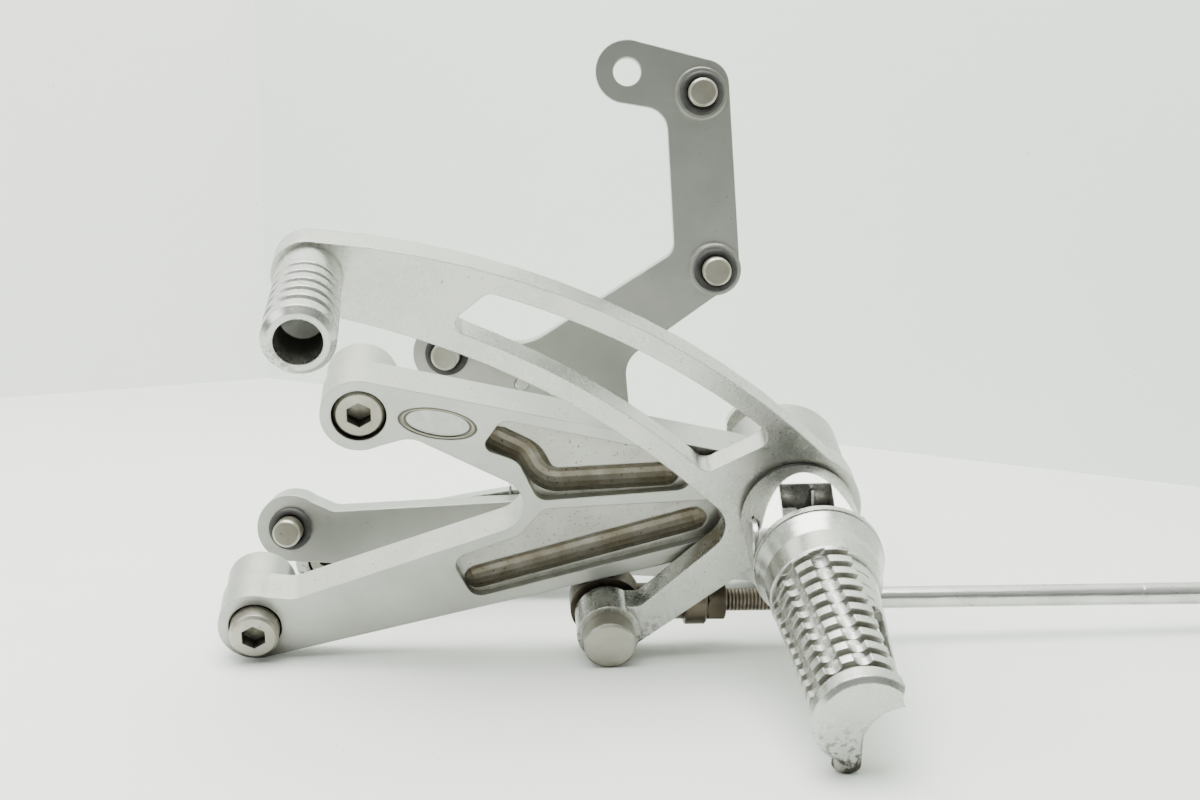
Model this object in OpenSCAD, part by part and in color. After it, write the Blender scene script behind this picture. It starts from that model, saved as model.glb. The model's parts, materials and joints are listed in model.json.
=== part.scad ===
// Pair of rear sets: folding footrests with their plates, gear lever and rod on the left,
// brake pedal on the right. Both stand on a table, the left set in front of the right one.
// +X is to the rear of the motorcycle, +Y runs from the left set to the right, +Z is up.
// The origin is on the table, below the middle of the pair.

/* [Plates] */
// Thickness of both footrest plates
plate_t = 12; // [9:0.5:16]
// How far the lower mounting bolt lies in front of the upper one
mount_dx = 30; // [24:0.5:36]
// How far the lower mounting bolt lies below the upper one
mount_dz = 62; // [54:0.5:72]
// Radius of the plate round each mounting bolt
arm_end_r = 9.8; // [9:0.1:11.5]
// How far the footrest hub lies behind the upper mounting bolt
hub_dx = 110.3; // [104:0.5:118]
// How far the footrest hub lies below the upper mounting bolt
hub_dz = 25; // [21:0.5:29]
// Radius of the plate hub
hub_r = 15.5; // [14.5:0.1:17]
// Length of the hub boss behind the plate
hub_boss_h = 8; // [6:0.5:11]
// Radius of the crotch between the two arms
crotch_r = 7.9; // [6:0.1:10]
// Depth of the shallow pocket floors
pocket_d = 2.6; // [1.5:0.1:3.5]
// Radius of the round-bottomed channel in each pocket
channel_r = 3.6; // [2.5:0.1:4]
// Depth of the channel axis below the plate face
channel_d = 3.2; // [2:0.1:4]

/* [Badge] */
// Length of the oval badge
badge_l = 20; // [16:0.5:22]
// Height of the oval badge
badge_w = 8.4; // [7:0.1:9]
// Depth of the badge recess
badge_d = 1; // [0.6:0.1:1.5]

/* [Mounting bolts] */
// Radius of the mounting bolts
bolt_r = 4; // [3:0.5:5]
// Radius of their round heads
head_r = 6.5; // [5.5:0.1:7]
// Height of their heads
head_h = 8; // [6:0.5:10]
// Width of the hexagon socket across its flats
socket_af = 6; // [4:0.5:7]
// Length of bolt that stands out behind its spacer or plate
bolt_out = 9; // [6:0.5:14]
// Length of the spacers behind the left plate
spacer_h = 11; // [8:0.5:16]
// Radius of the spacers
spacer_r = 9.2; // [8:0.1:9.5]
// Thickness of the rubber rings on the bolt ends
oring_d = 2.2; // [1.5:0.1:2.6]

/* [Levers] */
// Thickness of the gear lever and brake pedal
lever_t = 8; // [6:0.5:10]
// Gap between a lever and its plate
lever_gap = 1.5; // [1:0.1:3]
// Radius of the lever hub
lever_hub_r = 16.5; // [16.2:0.1:18]
// Radius of the gear lever's upper edge
lever_bow_r = 201; // [190:1:215]
// Radius of the brake pedal's upper edge, which is flatter
pedal_bow_r = 420; // [350:5:520]
// Width of the lever bars above and below the slot
bar_w = 5.2; // [4:0.1:6.5]
// How far the toe peg lies in front of the hub
toe_dx = 119.6; // [112:0.5:125]
// How far the toe peg lies above the hub
toe_dz = 67.3; // [60:0.5:72]
// Radius of the toe peg
toe_r = 8.5; // [7:0.1:8.8]
// Length of the toe peg
toe_l = 36; // [28:0.5:42]
// Depth of the hole in the free end of the toe peg
toe_hole_d = 13; // [8:0.5:18]
// Radius of that hole
toe_hole_r = 5.6; // [4:0.1:6]
// Outer radius of the lever bushes
bush_r = 9; // [7.5:0.1:10]

/* [Gear rod] */
// How far the rod bolt lies in front of the hub
link_dx = 47.8; // [44:0.1:50]
// Radius of the lever boss that holds the rod bolt
boss_r = 8.3; // [7.5:0.1:8.8]
// Radius of the round cap of the rod bolt
cap_r = 6.7; // [5.5:0.1:7.5]
// Height of that cap
cap_h = 6; // [4:0.5:9]
// Outer radius of the rod ends
eye_r = 9.4; // [8.5:0.1:9.4]
// Thickness of the rod ends
eye_t = 6.8; // [5.5:0.1:7.5]
// Radius of the balls in the rod ends
ball_r = 6.35; // [5.8:0.05:6.7]
// Bore radius of the balls
ball_bore_r = 3; // [2.5:0.25:3.5]
// Radius of the gear rod
rod_r = 3; // [2.5:0.1:3.5]
// Length of the gear rod between the centres of its two eyes
rod_l = 200; // [170:1:230]

/* [Footrests] */
// Radius of the footrest clevis
clevis_r = 14.5; // [13.5:0.1:15]
// Length of the clevis
clevis_l = 22.6; // [20:0.1:26]
// Width of the slot in the clevis
slot_w = 13; // [11.5:0.5:15]
// How far the hinge pin lies above the middle of the clevis
pin_up = 2; // [0:0.1:3]
// Distance from the hinge pin to the collar face
pin_to_collar = 7; // [6.5:0.1:8]
// Radius of the hinge pin
pin_r = 3; // [2.5:0.25:3.5]
// Radius of the footrest collar
collar_r = 16.1; // [15:0.1:17]
// How far the footrest's axis lies to the rear of the hub's
peg_shift = 1.4; // [0:0.1:2]
// Length of the plain cup between the collar face and the teeth
cup_l = 16; // [12:0.5:20]
// Radius of the grip over its teeth, at the cup
grip_r = 13.6; // [12.5:0.1:14]
// Radius of the grip at its free end
grip_end_r = 10.6; // [10:0.1:12]
// Length of the footrest from collar face to end
peg_l = 66; // [60:0.5:75]
// Number of tooth rings
tooth_rings = 9; // [6:1:11]
// Depth of the cuts between the teeth
tooth_d = 1.5; // [0.8:0.1:2]
// How far the footrests fold up, in degrees
fold_deg = 66; // [40:1:70]

/* [Right plate neck] */
// Thickness of the neck that carries the brake cylinder
neck_t = 10; // [8:0.5:12]
// Spacing of the two brake cylinder bolts
cylinder_pitch = 50; // [40:1:55]
// Radius of the raised rings round those bolts
ring_r = 7.3; // [6.8:0.1:7.6]
// Height of those rings
ring_h = 4; // [2:0.5:6]
// Radius of the hanger hole
hanger_r = 4; // [3:0.25:5]

/* [Pose on the table] */
// Turn of the right set seen from above, in degrees
right_yaw = 3.5; // [0:0.5:8]
// Nose-down turn of the right plate, in degrees
right_roll = 16.8; // [14:0.1:19]
// How far the right set stands behind the left one
right_dy = 77.4; // [72:0.5:100]
// How far the right set lies to the rear of the left one
right_dx = 21.1; // [10:0.5:30]

/* [Hidden] */

// Where the middle of the pair lies, counted from below the left plate's upper bolt
middle = [116.04, 45.83];

// Clearances
run = 0.05;          // radial clearance of a part that turns on another
fit = 0.1;           // clearance of a fixed part in its seat
air = 0.3;           // free gap between moving parts
fine = 96;           // facets of round preview surfaces
tuck = 0.04;         // how far an outline starts inside a round end
channel_sides = 16;  // flats round a channel

// Colours
satin = [0.82, 0.83, 0.82];
bright = [0.88, 0.89, 0.88];
steel = [0.6, 0.6, 0.58];
dark = [0.25, 0.23, 0.21];
black = [0.06, 0.06, 0.06];

// Points of the plates, as [x, z] seen from the left of the motorcycle
upper_mount = [0, 0];
lower_mount = [-mount_dx, -mount_dz];
hub = [hub_dx, -hub_dz];
pin_at = hub + [0, pin_up];
peg_at = hub + [peg_shift, 0];
toe = hub + [-toe_dx, toe_dz];

// Depths along the hub axis, counted outwards from the plate's outer face
lever_front = lever_gap + lever_t;
seal_t = 1.4;
clevis_back = lever_front + air + seal_t;
clevis_front = clevis_back + clevis_l;
collar_back = clevis_front + 0.2;
pin_out = collar_back - pin_to_collar;
peg_end = collar_back + peg_l;
teeth_from = collar_back + cup_l;
lip_from = peg_end - 5.5;
boss_front = lever_front + 2;
boss_back = -0.4;
boss_back_r = 5.6;
slider_r = 3.3;
hub_bolt_r = 5;
hub_head_r = 8;
hub_head_h = 6;

// Small vector helpers
function unit(v) = v / norm(v);
function polar(r, a) = [r * cos(a), r * sin(a)];
function turn(p, a) = [p.x * cos(a) - p.y * sin(a), p.x * sin(a) + p.y * cos(a)];

// A corner b between a and c rounded with radius r
function round_corner(a, b, c, r) =
    let (u = unit(a - b), w = unit(c - b), half = acos(u * w) / 2,
         centre = b + unit(u + w) * r / sin(half),
         from = b + u * r / tan(half) - centre, to = b + w * r / tan(half) - centre,
         start = atan2(from.y, from.x), sweep = atan2(to.y, to.x) - start,
         turned = sweep > 180 ? sweep - 360 : sweep < -180 ? sweep + 360 : sweep,
         steps = max(2, ceil(abs(turned) / 7)))
    [for (i = [0:steps]) centre + polar(r, start + turned * i / steps)];

// An outline of [x, y, corner radius] with every corner rounded
function rounded(p) =
    [for (i = [0:len(p) - 1])
        let (n = len(p), a = p[(i + n - 1) % n], b = p[i], c = p[(i + 1) % n], r = b[2])
        each (r == 0 ? [[b.x, b.y]]
              : round_corner([a.x, a.y], [b.x, b.y], [c.x, c.y], r))];

// Points of an arc round a centre, as outline corners without rounding
function arc(centre, r, from, to, steps) =
    [for (i = [0:steps]) let (q = centre + polar(r, from + (to - from) * i / steps)) [q.x, q.y, 0]];

function corner(p, r) = [p.x, p.y, r];

// Stands an [x, z] outline up as a slab from y = low to y = high
module slab(low, high) {
    translate([0, high, 0]) rotate([90, 0, 0]) linear_extrude(high - low) children();
}

// A round bar along Y round the point [x, z]
module bar(p, r, low, high) {
    translate([p.x, high, p.y]) rotate([90, 0, 0]) cylinder(r = r, h = high - low, $fn = fine);
}

// A turned part round the Y axis at [x, z]; its outline is [radius, distance outwards]
module turned(p) {
    translate([p.x, 0, p.y]) rotate([90, 0, 0]) rotate_extrude($fn = fine) children();
}

// A closed solid through rings of points that all have the same number of points
module skin(rings) {
    sides = len(rings[0]);
    last = len(rings) - 1;
    walls = [for (i = [0:last - 1]) for (k = [0:sides - 1])
        let (a = i * sides + k, b = i * sides + (k + 1) % sides) [a, a + sides, b + sides, b]];
    ends = [[for (k = [0:sides - 1]) k], [for (k = [sides - 1:-1:0]) last * sides + k]];
    polyhedron([for (r = rings) each r], concat(walls, ends), convexity = 8);
}

// A round wire of 8 sides along points
module wire(points, r) {
    last = len(points) - 1;
    function ahead(i) = unit(points[min(i + 1, last)] - points[max(i - 1, 0)]);
    function across(t) = unit(cross(t, abs(t.x) < 0.8 ? [1, 0, 0] : [0, 1, 0]));
    skin([for (i = [0:last]) let (t = ahead(i), u = across(t), w = cross(t, u))
        [for (a = [0:45:315]) points[i] + r * (u * cos(a) + w * sin(a))]]);
}

// The left set leans forward until its slider rests on the table with its lower arm end
slider_drop = grip_end_r + 3.6;
slider_y = peg_end - 4;
slider_foot = slider_r - 0.7;
left_lean = atan((mount_dz + arm_end_r - hub_dz - slider_drop) / (slider_y + slider_foot));
left_height = (mount_dz + arm_end_r) * cos(left_lean);
// The lever boss lies as low as lets the cap of the rod bolt rest on the table too
cap_edge = 0.6;
cap_front = boss_front + cap_h - cap_edge;
link_dz = mount_dz + arm_end_r - hub_dz - cap_r - cap_front * tan(left_lean);
link = hub + [-link_dx, -link_dz];

// The right set leans back until it rests on the collar and the slider of its footrest
collar_edge = collar_back + 2.2;
right_lean = atan((collar_r - slider_drop) / (slider_y + slider_foot - collar_edge));
right_hub_drop = -turn(hub, -right_roll).y;
right_height = (right_hub_drop + collar_r) * cos(right_lean) + (plate_t + collar_edge) * sin(right_lean);
// The brake pedal hangs down until its toe peg rests on the table as well
toe_edge = plate_t + lever_front + toe_l - 1.5;
toe_low = (toe_edge * sin(right_lean) - right_height) / cos(right_lean) + toe_r;
pedal_turn = right_roll + 180 - asin((toe_low + right_hub_drop) / norm([toe_dx, toe_dz])) - atan2(toe_dz, -toe_dx);

module left_side() {
    translate([-middle.x, -middle.y, left_height]) rotate([left_lean, 0, 0]) children();
}

module right_stand() {
    translate([right_dx - middle.x, right_dy - middle.y, right_height])
        rotate([0, 0, -right_yaw]) rotate([-right_lean, 0, 0]) children();
}

// The right set is the left one mirrored, with its outer face away from the left set
module right_side() {
    right_stand() rotate([0, right_roll, 0]) translate([0, plate_t, 0]) mirror([0, 1, 0]) children();
}

// Footrest plate

// Slopes of the plate's upper and lower edges
edge_slope = 13.7;
edge_r = arm_end_r - tuck;
upper_tangent = upper_mount + polar(edge_r, 90 - edge_slope);
lower_tangent = lower_mount + polar(edge_r, edge_slope - 90);
function on_upper_edge(x) = upper_tangent + (x - upper_tangent.x) * [1, -tan(edge_slope)];
function on_lower_edge(x) = lower_tangent + (x - lower_tangent.x) * [1, tan(edge_slope)];
crotch = [hub.x - 58.1, (on_upper_edge(hub.x - 58.1).y + on_lower_edge(hub.x - 58.1).y) / 2 - 1.2];

module plate_outline() {
    polygon(rounded([
        corner(upper_tangent, 0), corner(on_upper_edge(hub.x - 2), 0), corner(hub, 0),
        corner(on_lower_edge(hub.x - 2), 0), corner(lower_tangent, 0),
        corner(lower_mount, 0), corner(lower_mount + polar(edge_r, 70), 0),
        corner(lower_mount + [10.5, 8.2], 6), corner(crotch, crotch_r),
        corner(upper_mount + [12.8, -6.4], 7), corner(upper_mount + polar(edge_r, -64), 0),
        corner(upper_mount, 0)]));
}

upper_pocket = [
    corner(crotch + [-22, 18.5], 2.4), corner(on_upper_edge(35.5) + [0, -3.4], 3.4),
    corner(on_upper_edge(hub.x - 24) + [0, -3.4], 4), corner(hub + [-27, 1.6], 4.2),
    corner(crotch + [-7.5, 2.8], 4), corner(crotch + [-12.6, 14.6], 6)];
upper_channel = [
    corner(crotch + [-17.4, 20], 0), corner(crotch + [-9.6, 15.6], 6),
    corner(crotch + [-5.6, 7.4], 6), corner(hub + [-32.5, 5], 0)];

lower_pocket = [
    corner(crotch + [-6, 0.4], 4), corner(hub + [-19.5, -1.6], 3), corner(hub + [-17, -12.2], 4),
    corner(on_lower_edge(27.5) + [0, 3.3], 4), corner(crotch + [-30.4, -14.2], 3.6),
    corner(crotch + [-12.4, -7.4], 5)];
lower_channel = [corner(on_lower_edge(28.8) + [0, 8], 0), corner(hub + [-25, -8.6], 0)];

// Cutter of a round-bottomed channel along an outline path in the plane y = channel_d
module channel(path) {
    p = rounded(path);
    n = len(p);
    head = unit(p[0] - p[1]);
    tail = unit(p[n - 1] - p[n - 2]);
    tips = [80, 60, 30];
    stations = concat(
        [for (a = tips) [p[0] + head * channel_r * sin(a), head, channel_r * cos(a)]],
        [for (i = [0:n - 1]) [p[i], unit(p[max(i - 1, 0)] - p[min(i + 1, n - 1)]), channel_r]],
        [for (i = [len(tips) - 1:-1:0]) let (a = tips[i])
            [p[n - 1] + tail * channel_r * sin(a), -tail, channel_r * cos(a)]]);
    rings = [for (s = stations) let (c = s[0], t = s[1])
        [for (k = [0:channel_sides - 1]) let (a = 360 * k / channel_sides)
            [c.x - t.y * s[2] * cos(a), channel_d + s[2] * sin(a), c.y + t.x * s[2] * cos(a)]]];
    skin(rings);
}

// The plate shared by both sets, with its outer face at y = 0
module plate_body() {
    difference() {
        union() {
            slab(0, plate_t) plate_outline();
            bar(upper_mount, arm_end_r, 0, plate_t);
            bar(lower_mount, arm_end_r, 0, plate_t);
            bar(hub, hub_r, 0, plate_t + hub_boss_h);
        }
        bar(hub, hub_bolt_r + fit, -1, plate_t + hub_boss_h + 1);
        bar(hub, hub_head_r + 0.5, plate_t + hub_boss_h - hub_head_h, plate_t + hub_boss_h + 1);
        for (p = [upper_mount, lower_mount]) bar(p, bolt_r + fit, -1, plate_t + 1);
        slab(-1, pocket_d) polygon(rounded(upper_pocket));
        slab(-1, pocket_d) polygon(rounded(lower_pocket));
        channel(upper_channel);
        channel(lower_channel);
    }
}

badge_at = upper_mount + [19.6, -2.7];
badge_turn = -12;
function oval(l, w) = [for (i = [0:47]) badge_at + turn([l / 2 * cos(7.5 * i), w / 2 * sin(7.5 * i)], badge_turn)];
upper_sink = head_h + 0.4;
lower_sink = 3;

module left_plate() {
    color(satin) left_side() difference() {
        plate_body();
        slab(-1, badge_d) polygon(oval(badge_l + 2 * fit, badge_w + 2 * fit));
        bar(upper_mount, head_r + 0.5, -1, upper_sink);
        bar(lower_mount, head_r + 0.5, -1, lower_sink);
    }
}

module badge_insert() {
    rim = 0.7;
    color(bright) left_side() difference() {
        slab(0.1, badge_d) polygon(oval(badge_l, badge_w));
        slab(-1, 0.5) polygon(oval(badge_l - 2 * rim, badge_w - 2 * rim));
    }
}

// Mounting bolts

// A socket head bolt whose head seats at y = seat, with its shank to y = seat + length;
// the last stretch, free, is full size and the rest of the shank is a little thinner
module socket_bolt(p, seat, length, free) {
    edge = 0.8;
    tip = -seat - length;
    shank_r = bolt_r - 0.25;
    difference() {
        turned(p) polygon([
            [0, tip], [bolt_r - 0.6, tip], [bolt_r, tip + 0.6], [bolt_r, tip + free],
            [shank_r, tip + free], [shank_r, -seat], [head_r, -seat], [head_r, -seat + head_h - edge],
            [head_r - edge, -seat + head_h], [0, -seat + head_h]]);
        translate([p.x, seat - head_h / 2, p.y]) rotate([90, 0, 0]) rotate([0, 0, 30])
            cylinder(r = socket_af / 2 / cos(30), h = head_h, $fn = 6);
    }
}

free_end = bolt_out - oring_d - 0.2;
module mount_bolt(p, seat, through) { color(steel) socket_bolt(p, seat, through, free_end); }

module spacer(p) {
    color(satin) difference() {
        bar(p, spacer_r, plate_t, plate_t + spacer_h);
        bar(p, bolt_r + fit, plate_t - 1, plate_t + spacer_h + 1);
    }
}

// A rubber ring on a bolt end, whose near side touches the face at y = face
module oring(p, face) {
    color(black) translate([p.x, face + oring_d / 2, p.y]) rotate([90, 0, 0])
        rotate_extrude($fn = fine) translate([bolt_r + fit / 2 + oring_d / 2, 0]) circle(oring_d / 2, $fn = 32);
}

left_bolt_tip = plate_t + spacer_h + bolt_out;
module left_upper_bolt() { left_side() mount_bolt(upper_mount, upper_sink, left_bolt_tip - upper_sink); }
module left_lower_bolt() { left_side() mount_bolt(lower_mount, lower_sink, left_bolt_tip - lower_sink); }
module left_upper_spacer() { left_side() spacer(upper_mount); }
module left_lower_spacer() { left_side() spacer(lower_mount); }
module left_upper_oring() { left_side() oring(upper_mount, plate_t + spacer_h); }
module left_lower_oring() { left_side() oring(lower_mount, plate_t + spacer_h); }

// Levers

toe_end_r = toe_r + 0.5;
// The lever's upper edge is an arc through a point above the toe and one above the hub
top_left = toe + polar(toe_end_r - tuck, 78);
top_right = hub + polar(lever_hub_r - tuck, 62);
function arc_centre(a, b, r) =
    let (mid = (a + b) / 2, d = b - a, h = sqrt(r * r - d * d / 4)) mid + unit([d.y, -d.x]) * h;
low_left = toe + polar(toe_end_r - tuck, -100);
low_right = hub + [-24.6, 5.4];
function bearing(from, to) = atan2(to.y - from.y, to.x - from.x);
arc_steps = 12;

// Points from a to b on an arc of radius bow, moved outwards by step and cut short at its ends
function bow_arc(a, b, bow, step, trim_a, trim_b) =
    let (c = arc_centre(a, b, bow), from = bearing(c, a) - trim_a, to = bearing(c, b) + trim_b)
    arc(c, bow + step, from, to, arc_steps);
function backwards(p) = [for (i = [len(p) - 1:-1:0]) p[i]];
function soft_ends(p, r_first, r_last) =
    [for (i = [0:len(p) - 1]) [p[i].x, p[i].y, i == 0 ? r_first : i == len(p) - 1 ? r_last : 0]];

// Blade of a lever between the toe end and the hub, with an arm to the rod where asked
module blade_outline(with_arm, bow, low_bow) {
    upper = bow_arc(top_left, top_right, bow, 0, 0, 0);
    lower = backwards(bow_arc(low_left, low_right, low_bow, 0, 0, 0));
    arm = [
        corner(hub + [3, -lever_hub_r + 2], 0), corner(hub + [-12, -17.3], 0),
        corner(link + polar(boss_r - tuck, -54), 0), corner(link, 0),
        corner(link + polar(boss_r - tuck, 108), 0),
        corner(link + [8, 6.6], 4), corner(hub + [-14.4, -4.2], 8)];
    plain = [corner(hub + [-8, -10], 0), corner(hub + [-15, -3], 0)];
    polygon(rounded(concat(upper, [corner(hub, 0)], with_arm ? arm : plain, lower, [corner(toe, 0)])));
}

// The long slot, which leaves a bar above and below it
module slot_outline(bow, low_bow) {
    short = lever_bow_r / bow;
    low_short = lever_bow_r / low_bow;
    upper = bow_arc(top_left, top_right, bow, -bar_w, 12.2 * short, 4.1 * short);
    lower = bow_arc(low_left, low_right, low_bow, bar_w, 9.3 * low_short, low_short);
    polygon(rounded(concat(soft_ends(upper, 3.2, 3.4), soft_ends(backwards(lower), 3.4, 3))));
}

module lever_body(with_arm, bow, low_bow) {
    difference() {
        union() {
            slab(-lever_front, -lever_gap) blade_outline(with_arm, bow, low_bow);
            bar(toe, toe_end_r, -lever_front, -lever_gap);
            bar(hub, lever_hub_r, -lever_front, -lever_gap);
            if (with_arm) {
                bar(link, boss_r, -boss_front, -lever_gap);
                bar(link, boss_back_r, -boss_front, boss_back);
            }
        }
        slab(-lever_front - 1, 0) slot_outline(bow, low_bow);
        bar(hub, bush_r + run, -lever_front - 1, 0);
        bar(toe, toe_screw_r + fit, -lever_front - 1, 0);
        bar(toe, toe_screw_head_r + 0.3, -lever_gap - 3, 0);
        if (with_arm) bar(link, ball_bore_r + fit, -boss_front - 1, 0);
    }
}

toe_screw_r = 3;
toe_screw_head_r = 5;

module toe_peg_body() {
    base = lever_front;
    ring_from = 9;
    pitch = 4.9;
    groove = 1;
    tip = base + toe_l;
    difference() {
        turned(toe) difference() {
            polygon([
                [0, base], [toe_r - 0.5, base], [toe_r - 0.5, base + ring_from - 1],
                [toe_r, tip - toe_l / 4], [toe_r, tip - 1.5], [toe_r - 1.5, tip],
                [toe_hole_r, tip], [toe_hole_r - 0.3, tip - toe_hole_d], [0, tip - toe_hole_d - 2]]);
            for (i = [0:4])
                translate([toe_r + 0.2, base + ring_from + pitch * i])
                    polygon([[0, 0], [-groove - 0.4, 1.2], [-groove - 0.4, 1.9], [0, 2.6]]);
        }
        bar(toe, toe_screw_r - 0.15, -(base + 12), 0);
    }
}

// Screw that holds the toe peg from the back of the lever
module toe_screw_body() {
    seat = -lever_gap - 2.9;
    difference() {
        turned(toe) polygon([
            [0, lever_front + 10], [toe_screw_r - 0.5, lever_front + 10],
            [toe_screw_r - 0.2, lever_front + 9.5], [toe_screw_r - 0.2, -seat], [toe_screw_head_r, -seat],
            [toe_screw_head_r, lever_gap + 0.6], [toe_screw_head_r - 0.5, lever_gap + 0.1],
            [0, lever_gap + 0.1]]);
        translate([toe.x, 0, toe.y]) rotate([90, 0, 0]) cylinder(r = 2, h = lever_gap + 2, $fn = 6);
    }
}

// Plain bush with a flange at the plate, which the lever turns on
module bush_body() {
    turned(hub) polygon([
        [hub_bolt_r + fit, 0], [bush_r + 3, 0], [bush_r + 3, lever_gap - 0.2], [bush_r, lever_gap - 0.2],
        [bush_r, clevis_back], [hub_bolt_r + fit, clevis_back]]);
}

module gear_lever() { color(bright) left_side() lever_body(true, lever_bow_r, lever_bow_r); }
module gear_lever_bush() { color(steel) left_side() bush_body(); }
module gear_toe_peg() { color(bright) left_side() toe_peg_body(); }
module gear_toe_screw() { color(steel) left_side() toe_screw_body(); }

// The brake pedal hangs lower on its hub than the gear lever
module pedal_side() {
    right_side() translate([hub.x, 0, hub.y]) rotate([0, -pedal_turn, 0]) translate([-hub.x, 0, -hub.y])
        children();
}

push_arm = [-10, 31];
push_hole_r = 3;
eye_arm_r = 7;
module brake_pedal() {
    eye = hub + turn(push_arm, -pedal_turn + right_roll);
    color(bright) pedal_side() difference() {
        union() {
            lever_body(false, pedal_bow_r, 3 * pedal_bow_r);
            slab(-lever_front + 0.6, -lever_gap - 0.6) polygon([
                for (s = [-90, 90]) eye + polar(eye_arm_r - tuck, s + bearing(hub, eye)),
                for (s = [90, -90]) hub + polar(12, s + bearing(hub, eye))]);
            bar(eye, eye_arm_r, -lever_front + 0.3, -lever_gap - 0.3);
        }
        bar(eye, push_hole_r, -lever_front - 1, 0);
        bar(hub, bush_r + run, -lever_front - 1, 0);
        bar(pedal_hook, spring_wire + 0.8, -lever_front - 1, 0);
    }
}
module brake_pedal_bush() { color(steel) right_side() bush_body(); }
module brake_toe_peg() { color(bright) pedal_side() toe_peg_body(); }
module brake_toe_screw() { color(steel) pedal_side() toe_screw_body(); }

// Gear rod

ball_w = 9;
eye_mid = boss_back + run + ball_w / 2;
eye_tilt = left_lean;
// Height of the front eye above the table, and the rod's slope that lays the rear eye on it
front_eye_height = left_height + eye_mid * sin(left_lean) + link.y * cos(left_lean);
rear_eye_height = eye_r * cos(eye_tilt) + eye_t / 2 * sin(eye_tilt);
rod_slope = asin((front_eye_height - rear_eye_height) / (rod_l * cos(left_lean)));
shank_l = 27;
nut_h = 5;
nut_af = 10;

module rod_place() {
    left_side() translate([link.x, eye_mid, link.y]) rotate([0, rod_slope, 0]) children();
}

module ball_body() {
    half = asin(ball_w / 2 / ball_r);
    steps = 15;
    bore = ball_bore_r + fit;
    rotate([90, 0, 0]) rotate_extrude($fn = fine) polygon(concat(
        [[bore, -ball_w / 2]],
        [for (i = [0:steps]) polar(ball_r, half * (2 * i / steps - 1))],
        [[bore, ball_w / 2]]));
}

// Housing of a rod end with its eye at the origin and its shank along +X
module rod_end_body() {
    collar_x = shank_l - 6;
    difference() {
        union() {
            rotate([90, 0, 0]) cylinder(r = eye_r, h = eye_t, center = true, $fn = fine);
            rotate([0, 90, 0]) rotate_extrude($fn = fine) polygon([
                [0, 0], [4.6, 0], [5, collar_x], [6, collar_x], [6.4, collar_x + 0.4], [6.4, shank_l - 0.6],
                [5.8, shank_l], [0, shank_l]]);
        }
        sphere(ball_r + run, $fn = fine);
        rotate([90, 0, 0]) cylinder(r = ball_r * 0.93, h = 2 * eye_t, center = true, $fn = fine);
        translate([eye_r, 0, 0]) rotate([0, 90, 0]) cylinder(r = rod_r + 0.1, h = shank_l, $fn = fine);
    }
}

module jam_nut_body() {
    difference() {
        intersection() {
            rotate([0, 90, 0]) cylinder(r = nut_af / 2 / cos(30), h = nut_h, $fn = 6);
            rotate([0, 90, 0]) rotate_extrude($fn = fine) polygon([
                [0, 0], [nut_af / 2, 0], [nut_af / 2 + 0.9, 0.7], [nut_af / 2 + 0.9, nut_h - 0.7],
                [nut_af / 2, nut_h], [0, nut_h]]);
        }
        translate([-1, 0, 0]) rotate([0, 90, 0]) cylinder(r = rod_r + 0.1, h = nut_h + 2, $fn = fine);
    }
}

module rear_of_rod() { translate([rod_l, 0, 0]) rotate([0, 0, 180]) children(); }

module front_ball() { color(steel) rod_place() ball_body(); }
module front_rod_end() { color(dark) rod_place() rod_end_body(); }
module front_jam_nut() { color(dark) rod_place() translate([shank_l + 0.05, 0, 0]) jam_nut_body(); }
module gear_rod() {
    inset = eye_r + 4;
    thread_l = 40;
    color(steel) rod_place() translate([inset, 0, 0]) rotate([0, 90, 0]) rotate_extrude($fn = fine)
        polygon([
            [0, 0], [rod_r - 0.5, 0], [rod_r, 0.5], [rod_r, thread_l], [rod_r - 0.05, thread_l + 0.3],
            [rod_r - 0.05, rod_l - 2 * inset - thread_l - 0.3], [rod_r, rod_l - 2 * inset - thread_l],
            [rod_r, rod_l - 2 * inset - 0.5], [rod_r - 0.5, rod_l - 2 * inset], [0, rod_l - 2 * inset]]);
}
module rear_jam_nut() { color(dark) rod_place() rear_of_rod() translate([shank_l + 0.05, 0, 0]) jam_nut_body(); }
module rear_rod_end() { color(dark) rod_place() rear_of_rod() rod_end_body(); }
module rear_ball() { color(steel) rod_place() rear_of_rod() ball_body(); }

// Bolt with a plain round cap, through the lever boss and the ball
module rod_bolt() {
    tip = -(eye_mid + ball_w / 2 + 1.5);
    color(steel) left_side() turned(link) polygon([
        [0, tip], [ball_bore_r - 0.5, tip], [ball_bore_r, tip + 0.5], [ball_bore_r, boss_front], [cap_r, boss_front],
        [cap_r, cap_front], [cap_r - cap_edge, boss_front + cap_h], [0, boss_front + cap_h]]);
}

// Footrest, its clevis and hinge

module hub_bolt_body() {
    seat = plate_t + hub_boss_h - hub_head_h;
    tip = thread_end - 0.2;
    difference() {
        turned(hub) polygon([
            [0, tip], [hub_bolt_r - 0.6, tip], [hub_bolt_r, tip - 0.6], [hub_bolt_r, -seat],
            [hub_head_r, -seat], [hub_head_r, -seat - hub_head_h + 0.8],
            [hub_head_r - 0.8, -seat - hub_head_h], [0, -seat - hub_head_h]]);
        translate([hub.x, seat + 2, hub.y]) rotate([-90, 0, 0])
            cylinder(r = 4 / cos(30), h = hub_head_h, $fn = 6);
    }
}

module seal_body() {
    difference() {
        bar(hub, clevis_r - 0.4, -clevis_back, -clevis_back + seal_t);
        bar(hub, bush_r + 0.2, -clevis_back - 1, 0);
    }
}

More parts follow.
